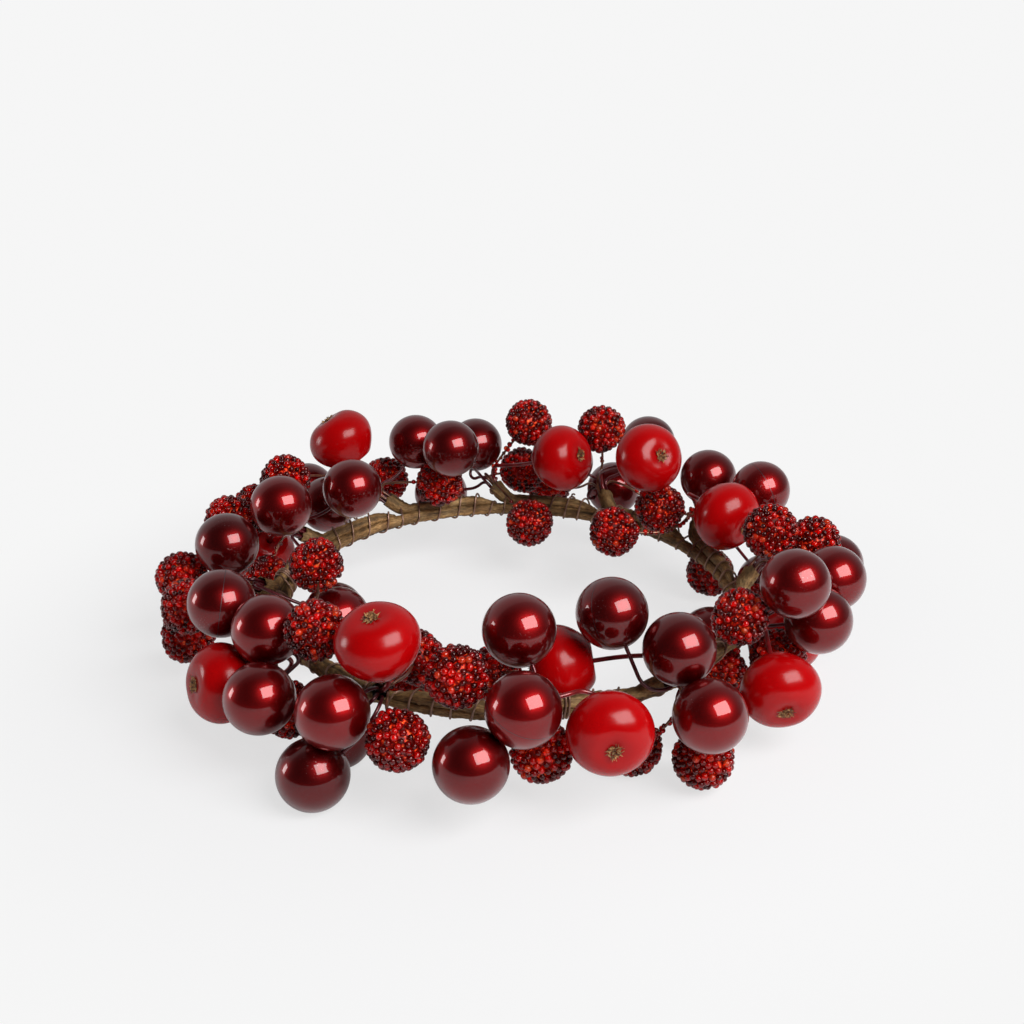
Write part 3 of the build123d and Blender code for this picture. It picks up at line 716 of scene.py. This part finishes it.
columns = np.linspace(0, 2 * math.pi, apple_columns, endpoint=False)
chance = np.random.default_rng(31)
calyx_points = [part.mean(axis=0) for part in loose_solids("apple_calyxes")]
apple_places = []
for pick in range(pick_count):
    node = f"pick_{pick + 1:02d}_apple"
    if node not in nodes:
        continue
    points = loose_solids(node)[0]
    rough_middle = (points.min(axis=0) + points.max(axis=0)) / 2
    calyx = min(calyx_points, key=lambda spot: np.linalg.norm(spot - rough_middle))
    level, stem_way = apple_ends(points, calyx)
    spread, sizes = apple_sizes(points, level, stem_way)
    top = sizes[0] * math.cos(spread[0])
    bottom = sizes[-1] * math.cos(spread[-1])
    profile = [(width, top - depth) for width, depth in apple_hole_rows]
    profile += [(size * math.sin(a), size * math.cos(a)) for a, size in zip(spread, sizes)]
    profile += [(width, bottom + apple_end_rise) for width in (apple_end_width, closed_end)]
    shape, faces = lathe(profile, columns)
    lobes = chance.uniform(*any_turn)
    reach = np.linalg.norm(shape, axis=2)
    polar = np.arccos(np.clip(shape[..., 2] / np.maximum(reach, 1e-9), -1, 1))
    near_calyx = np.clip((polar - lobes_start) / lobes_over, 0, 1)
    swell = (apple_lobe_swell * np.cos(apple_lobes * columns + lobes) * near_calyx * np.sin(polar)
             + apple_lopsided * np.cos(columns - lobes) * np.sin(polar) ** 2 - apple_shrink)
    shape = shape * (1 + swell)[..., None]
    spin = chance.uniform(*any_turn)
    mesh = new_mesh(node + "_satin", shape.reshape(-1, 3) @ turned_to(stem_way, spin).T + level,
                    faces=faces)
    write_values(mesh, "dimple_shade", np.clip(np.minimum(polar, math.pi - polar) / dimple_shade_turn, 0, 1))
    piece = new_piece(mesh.name, mesh, apple.material)
    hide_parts(node)
    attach(piece, "root")
    apple_places.append((stem_way, level + stem_way * bottom))


# The calyx of each apple: a tuft of dry brown fibres, glued into the dimple opposite
# the stem, spread outwards round a dark middle.
fibre_length = 0.00100
fibre_thickness = 0.00015
fibre_tip = 0.00004
fibre_sides = 5
fibre_least = (0.8, 0.8, 0.6)
fibre_most = (1.3, 1.3, 1.25)
# Rings of fibres in a tuft: radius, number of fibres, and their lean from upright.
tuft_rings = ((0.00145, 16, 74), (0.00115, 16, 66), (0.00075, 12, 62), (0.00030, 7, 40))
tuft_oval = 0.85
tuft_rise = 0.25
tuft_sink = 0.00012
tuft_spin = 1.3
stray_place = 0.3
stray_heading = 1.9
stray_lean = 16

fibre = Finish("dry_calyx_fibre")
fibre.set(
    Base_Color=fibre.ramp(fibre.noise(1500.0, 3.0), [
        (0.35, (0.020, 0.008, 0.004)), (0.5, (0.22, 0.095, 0.030)), (0.68, (0.62, 0.36, 0.14))]),
    Roughness=0.7)
calyx_tree = Growth("calyx_tuft")
length_in = calyx_tree.input("Length")
thick_in = calyx_tree.input("Thickness")
seed_in = calyx_tree.input("Seed", "NodeSocketInt")
bristle = calyx_tree.add("GeometryNodeMeshCone", {
    "Vertices": fibre_sides, "Side Segments": 2, "Radius Bottom": thick_in, "Radius Top": fibre_tip,
    "Depth": length_in})
lean = calyx_tree.add("GeometryNodeInputNamedAttribute", {"Name": "lean"},
                      data_type="FLOAT_VECTOR")
aimed = calyx_tree.add("FunctionNodeAlignRotationToVector", {"Vector": lean.outputs[0]}, axis="Z")
uneven = calyx_tree.add("FunctionNodeRandomValue", {
    "Min": fibre_least, "Max": fibre_most, "Seed": seed_in}, data_type="FLOAT_VECTOR")
spread_out = calyx_tree.add("GeometryNodeInstanceOnPoints", {
    "Points": calyx_tree.given, "Instance": bristle.outputs["Mesh"],
    "Rotation": aimed.outputs[0], "Scale": uneven.outputs[0]})
calyx_tree.finish(spread_out.outputs[0], fibre.material)

spots, leans = [], []
for number, (stem_way, dimple_floor) in enumerate(apple_places):
    matrix = turned_to(-stem_way, number * tuft_spin)
    for ring_size, count, tilt in tuft_rings:
        for step in range(count):
            turn = 2 * math.pi * (step + chance.uniform(-stray_place, stray_place)) / count
            heading = turn + chance.uniform(-stray_heading, stray_heading)
            tip = math.radians(tilt + chance.uniform(-stray_lean, stray_lean))
            way = np.array([math.cos(heading) * math.sin(tip),
                            math.sin(heading) * math.sin(tip), math.cos(tip)])
            foot = np.array([math.cos(turn) * ring_size, math.sin(turn) * ring_size * tuft_oval,
                             tuft_rise * ring_size - tuft_sink])
            spots.append(matrix @ foot + dimple_floor)
            leans.append(matrix @ way)
mesh = new_mesh("calyx_spots", spots)
write_places(mesh, "lean", leans)
calyxes = calyx_tree.grow("apple_calyx_tufts", mesh, {
    "Length": fibre_length, "Thickness": fibre_thickness, "Seed": 4})
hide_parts("apple_calyxes")
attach(calyxes, "root")


# The beaded berries: foam balls dipped in glue and rolled in clear red seed beads, which
# lie as they fell over the red ball under them.
bead_radius = 0.00084
bead_spacing = bead_radius * 1.60
bead_sizes = (0.80, 1.14)
bead_tone_and_glint_range = (0.0, 1.0)
bead_depth = bead_radius * 1.05
core_depth = bead_radius * 1.75
bead_detail = 2
core_rows = 26
core_columns = 40
core_pole = 0.00002
core_dents = 7
dent_depths = (0.0, 0.10)
dent_spread = 0.12

bead = Finish("clear_red_beads")
facing = bead.add("ShaderNodeLayerWeight", {"Blend": 0.5}).outputs["Facing"]
# Each bead's own value sets its tone, dark to red at random; the top few are painted bright orange,
# as light glowing through the bead.
inside = bead.ramp(bead.written("tone_and_glint"), [
    (0.0, (0.07, 0.0004, 0.0004)), (0.45, (0.22, 0.0010, 0.0006)), (0.78, (0.80, 0.003, 0.0015)),
    (0.93, (1.0, 0.018, 0.004)), (0.98, (1.0, 0.16, 0.035))])
# Each bead is painted darker towards its rim, as the shade a clear bead shows at its edge.
painted_rim_shade = bead.ramp(facing, [
    (0.05, (1.0, 1.0, 1.0)), (0.34, (0.72, 0.50, 0.50)), (0.70, (0.30, 0.06, 0.06))])
bead.set(
    Base_Color=bead.mix(1.0, inside, painted_rim_shade, "MULTIPLY"), Roughness=0.03, Specular_IOR_Level=0.12,
    IOR=1.45, Transmission_Weight=0.65, Coat_Weight=0.5, Coat_IOR=1.45, Coat_Roughness=0.02,
    Coat_Tint=(1.0, 0.35, 0.35, 1))

# The ball under the beads is red at random, from dark to bright; its bright orange spots and its
# faint glow, with no lamp in it, are painted light coming through the beads.
core = Finish("glue_covered_core")
core.set(
    Base_Color=core.ramp(core.noise(1300.0, 2.0), [
        (0.44, (0.04, 0.0004, 0.0004)), (0.53, (0.42, 0.004, 0.0015)),
        (0.60, (1.0, 0.045, 0.009)), (0.67, (1.0, 0.20, 0.04))]),
    Emission_Color=(1.0, 0.02, 0.004, 1), Emission_Strength=0.05,
    Specular_IOR_Level=0.2, Roughness=0.4)


def random_number(tree, least, most, seed):
    node = tree.add("FunctionNodeRandomValue", {2: least, 3: most, "Seed": seed},
                    data_type="FLOAT")
    return node.outputs[1]


def bead_on_each(tree, points, radius, detail, seed, tone_and_glint_range, sizes, turned=None):
    """A bead on each point, of its own size, and with its own value for its tone and painted glint.
    """
    marked = tree.add("GeometryNodeStoreNamedAttribute", {
        "Geometry": points, "Name": "tone_and_glint", "Value": random_number(tree, *tone_and_glint_range, seed)},
        data_type="FLOAT", domain="POINT")
    ball = tree.add("GeometryNodeMeshIcoSphere", {"Radius": radius, "Subdivisions": detail})
    rounded = tree.add("GeometryNodeSetShadeSmooth", {"Geometry": ball.outputs["Mesh"]})
    beads = tree.add("GeometryNodeInstanceOnPoints", {
        "Points": marked.outputs[0], "Instance": rounded.outputs[0],
        "Scale": random_number(tree, *sizes, seed)})
    if turned:
        tree.put(beads.inputs["Rotation"], turned)
    tree.finish(beads.outputs[0], bead.material)


bead_tree = Growth("beads_on_a_ball")
radius_in = bead_tree.input("Bead radius")
gap_in = bead_tree.input("Bead spacing")
detail_in = bead_tree.input("Bead detail", "NodeSocketInt")
seed_in = bead_tree.input("Seed", "NodeSocketInt")
scatter = bead_tree.add("GeometryNodeDistributePointsOnFaces", {
    "Mesh": bead_tree.given, "Distance Min": gap_in, "Density Max": 4000000.0, "Seed": seed_in},
    distribute_method="POISSON")
spin = bead_tree.add("FunctionNodeRandomValue", {
    "Min": (0, 0, 0), "Max": (6.28, 6.28, 6.28), "Seed": seed_in}, data_type="FLOAT_VECTOR")
bead_on_each(bead_tree, scatter.outputs["Points"], radius_in, detail_in, seed_in,
             bead_tone_and_glint_range, bead_sizes, turned=spin.outputs[0])


def lumpy_balls(name, balls, depth, seed):
    """One mesh of slightly dented balls, each under its berry's outside by depth."""
    points, faces = [], []
    chance = np.random.default_rng(seed)
    columns = np.linspace(0, 2 * math.pi, core_columns, endpoint=False)
    for middle, radius, way in balls:
        size = radius - depth
        profile = [(max(size * math.sin(a), core_pole), size * math.cos(a))
                   for a in np.linspace(0.0, math.pi, core_rows)]
        shape, ball_faces = lathe(profile, columns)
        heading = shape / np.linalg.norm(shape, axis=2)[..., None]
        for number in range(core_dents):
            toward = chance.normal(size=3)
            toward /= np.linalg.norm(toward)
            press = chance.uniform(*dent_depths) * np.exp((heading @ toward - 1) / dent_spread)
            shape = shape * (1 - press)[..., None]
        faces += moved_faces(ball_faces, sum(len(block) for block in points))
        points.append(shape.reshape(-1, 3) @ turned_to(way, 0.0).T + middle)
    return new_mesh(name, np.vstack(points), faces=faces)


for pick in range(pick_count):
    node = f"pick_{pick + 1:02d}_beaded"
    balls = [ball_of(solid) for solid in loose_solids(node)]
    mesh = lumpy_balls(node + "_glued_core", balls, core_depth, 60 + pick)
    core_piece = new_piece(mesh.name, mesh, core.material)
    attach(core_piece, "root")
    mesh = lumpy_balls(node + "_under_beads", balls, bead_depth, 60 + pick)
    beads = bead_tree.grow(f"pick_{pick + 1:02d}_beads", mesh, {
        "Bead radius": bead_radius, "Bead spacing": bead_spacing,
        "Bead detail": bead_detail, "Seed": 50 + pick})
    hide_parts(node)
    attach(beads, "root")


# The strung beads: the last few of each beaded berry slip off it as it is rolled,
# and stay glued along its wire.
strung_sizes = (0.6, 0.95)
strung_tone_and_glint_range = (0.3, 1.0)
strung_start = -0.0006
strung_ends = (0.0015, 0.0060)
strung_gap = bead_radius * 1.15

wire_bead_tree = Growth("beads_on_a_wire")
radius_in = wire_bead_tree.input("Bead radius")
seed_in = wire_bead_tree.input("Seed", "NodeSocketInt")
bead_on_each(wire_bead_tree, wire_bead_tree.given, radius_in, bead_detail, seed_in,
             strung_tone_and_glint_range, strung_sizes)

chance = np.random.default_rng(77)
wire_points = np.vstack(loose_solids("beaded_stems"))
bead_places = []
for pick in range(pick_count):
    for solid in loose_solids(f"pick_{pick + 1:02d}_beaded"):
        middle, radius, stem_way = ball_of(solid)
        away = np.linalg.norm(wire_points - middle, axis=1) - radius
        near = wire_points[(away > strung_start) & (away < chance.uniform(*strung_ends))]
        chance.shuffle(near)
        kept = []
        for spot in near:
            if all(np.linalg.norm(spot - other) > strung_gap for other in kept):
                kept.append(spot)
        bead_places += kept
wire_beads = wire_bead_tree.grow("beads_along_the_wires", new_mesh("wire_spots", bead_places), {
    "Bead radius": bead_radius, "Seed": 9})
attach(wire_beads, "root")


# The stems: coated wires glued into the necks and bent by hand to their berries: thick
# burgundy ones to the balls, red ones to the apples, thin copper-brown ones to the beaded
# berries. Their solids are kept.
def stem_finish(name, dark, light, metallic, roughness):
    finish = Finish(name)
    finish.set(
        Base_Color=finish.ramp(finish.noise(350.0, 3.0), [(0.35, dark), (0.7, light)]),
        Metallic=metallic, Roughness=roughness, Coat_Weight=0.5, Coat_Roughness=0.15)
    finish.bump(finish.noise(3000.0, 2.0), 0.2, 0.0001)
    return finish.material


stem_finishes = {
    "pearl_stems": stem_finish(
        "burgundy_coated_wire", (0.050, 0.003, 0.006), (0.14, 0.006, 0.012), 0.5, 0.3),
    "apple_stems": stem_finish(
        "red_coated_wire", (0.10, 0.003, 0.004), (0.30, 0.006, 0.008), 0.3, 0.3),
    "beaded_stems": stem_finish(
        "copper_brown_wire", (0.10, 0.035, 0.018), (0.32, 0.13, 0.07), 0.7, 0.35),
}
for node, material in stem_finishes.items():
    nodes[node].data.materials.clear()
    nodes[node].data.materials.append(material)
    nodes[node].data.shade_smooth()


# The stage: a pale seamless floor, a softbox to the front right, a small window to the left
# and a camera at the photograph's height. The room is dark but for the pale backdrop behind,
# and the glossy balls mirror mirror_share of its white.
mirror_share = 0.30
backdrop_white = (0.92, 0.92, 0.92, 1)
floor_half = 12
fade_start, fade_end = 0.075, 0.17
fade_near = 0.74
room_dark, room_pale = 0.04, 0.32
panel_way = (-0.42, 0.90, 0.0)
lamp_aim = Vector((0, 0, 0.02))
picture_pixels = 1024
focal_pixels = 1413.4
camera_place = (0.00097, -0.33336, 0.18360)
camera_downward = 23.156


def looked_at(tree, mirrored):
    """1 for the rays that see the backdrop itself, and mirrored for those off a gloss."""
    ray = tree.add("ShaderNodeLightPath").outputs
    seen = tree.math("MAXIMUM", ray["Is Camera Ray"], ray["Is Transmission Ray"])
    return tree.math("MAXIMUM", seen, tree.math("MULTIPLY", ray["Is Glossy Ray"], mirrored))


def eased(tree, value, start, end, low, high):
    node = tree.add("ShaderNodeMapRange", {
        "Value": value, "From Min": start, "From Max": end, "To Min": low, "To Max": high},
        interpolation_type="SMOOTHSTEP")
    return node.outputs["Result"]


# The floor keeps the shadow near the ring and fades into the backdrop's white away from it.
floor_finish = Finish("pale_floor")
floor_finish.set(Base_Color=(0.84, 0.835, 0.85, 1), Roughness=0.9, Specular_IOR_Level=0.0)
reach = floor_finish.add("ShaderNodeVectorMath", {0: floor_finish.place}, operation="LENGTH")
far = eased(floor_finish, reach.outputs["Value"], fade_start, fade_end, fade_near, 1.0)
fade = floor_finish.math("MULTIPLY", far, looked_at(floor_finish, mirror_share))
paper_white = floor_finish.add("ShaderNodeEmission", {"Color": backdrop_white, "Strength": 1.0})
blend = floor_finish.add("ShaderNodeMixShader", {
    0: fade, 1: floor_finish.shader.outputs[0], 2: paper_white.outputs[0]})
floor_output = floor_finish.tree.nodes["Material Output"]
floor_finish.put(floor_output.inputs["Surface"], blend.outputs[0])
corners = [(-floor_half, -floor_half, 0), (floor_half, -floor_half, 0),
           (floor_half, floor_half, 0), (-floor_half, floor_half, 0)]
floor = new_piece("floor", new_mesh("floor", corners, faces=[(0, 1, 2, 3)]), floor_finish.material)

# The room is brighter towards the backdrop. Glosses mirror its white only behind the ring
# and to the left.
world = bpy.data.worlds.new("studio")
bpy.context.scene.world = world
world.use_nodes = True
sky = Tree(world.node_tree)
heading = sky.add("ShaderNodeTexCoord").outputs["Generated"]
apart = sky.add("ShaderNodeSeparateXYZ", {0: heading})
room = sky.tree.nodes["Background"]
sky.put(room.inputs["Color"], (0.95, 0.95, 1.0, 1))
glow = eased(sky, apart.outputs["Y"], -0.25, 0.75, room_dark, room_pale)
sky.put(room.inputs["Strength"], glow)
toward = sky.add("ShaderNodeVectorMath", {0: heading, 1: panel_way}, operation="DOT_PRODUCT")
panel = eased(sky, toward.outputs["Value"], 0.38, 0.52, 0.0, mirror_share)
white = sky.add("ShaderNodeBackground", {"Color": backdrop_white})
choose = sky.add("ShaderNodeMixShader", {
    0: looked_at(sky, panel), 1: room.outputs[0], 2: white.outputs[0]})
sky.put(sky.tree.nodes["World Output"].inputs["Surface"], choose.outputs[0])


def softbox(name, azimuth, elevation, distance, size, brightness, roll=0.0):
    light = bpy.data.lights.new(name, "AREA")
    light.shape = "RECTANGLE"
    light.size, light.size_y = size
    light.energy = brightness * math.pi * size[0] * size[1]
    box = bpy.data.objects.new(name, light)
    bpy.context.scene.collection.objects.link(box)
    rise = math.radians(elevation)
    box.location = (outward(azimuth) * math.cos(rise) + upward * math.sin(rise)) * distance
    aim = (lamp_aim - box.location).to_track_quat("-Z", "Y").to_matrix()
    box.rotation_euler = (aim @ Matrix.Rotation(roll, 3, "Z")).to_euler()


softbox("key_softbox", -47, 44, 0.70, (0.52, 0.39), 9.5, roll=math.radians(-8))
softbox("left_window", 178, 10, 0.90, (0.20, 0.27), 8.5)

camera = bpy.data.cameras.new("camera")
camera.sensor_width = 36.0
camera.lens = focal_pixels / picture_pixels * camera.sensor_width
eye = bpy.data.objects.new("camera", camera)
bpy.context.scene.collection.objects.link(eye)
eye.location = camera_place
eye.rotation_euler = (math.radians(90 - camera_downward), 0, 0)
bpy.context.scene.camera = eye
bpy.context.scene.view_settings.view_transform = "Standard"
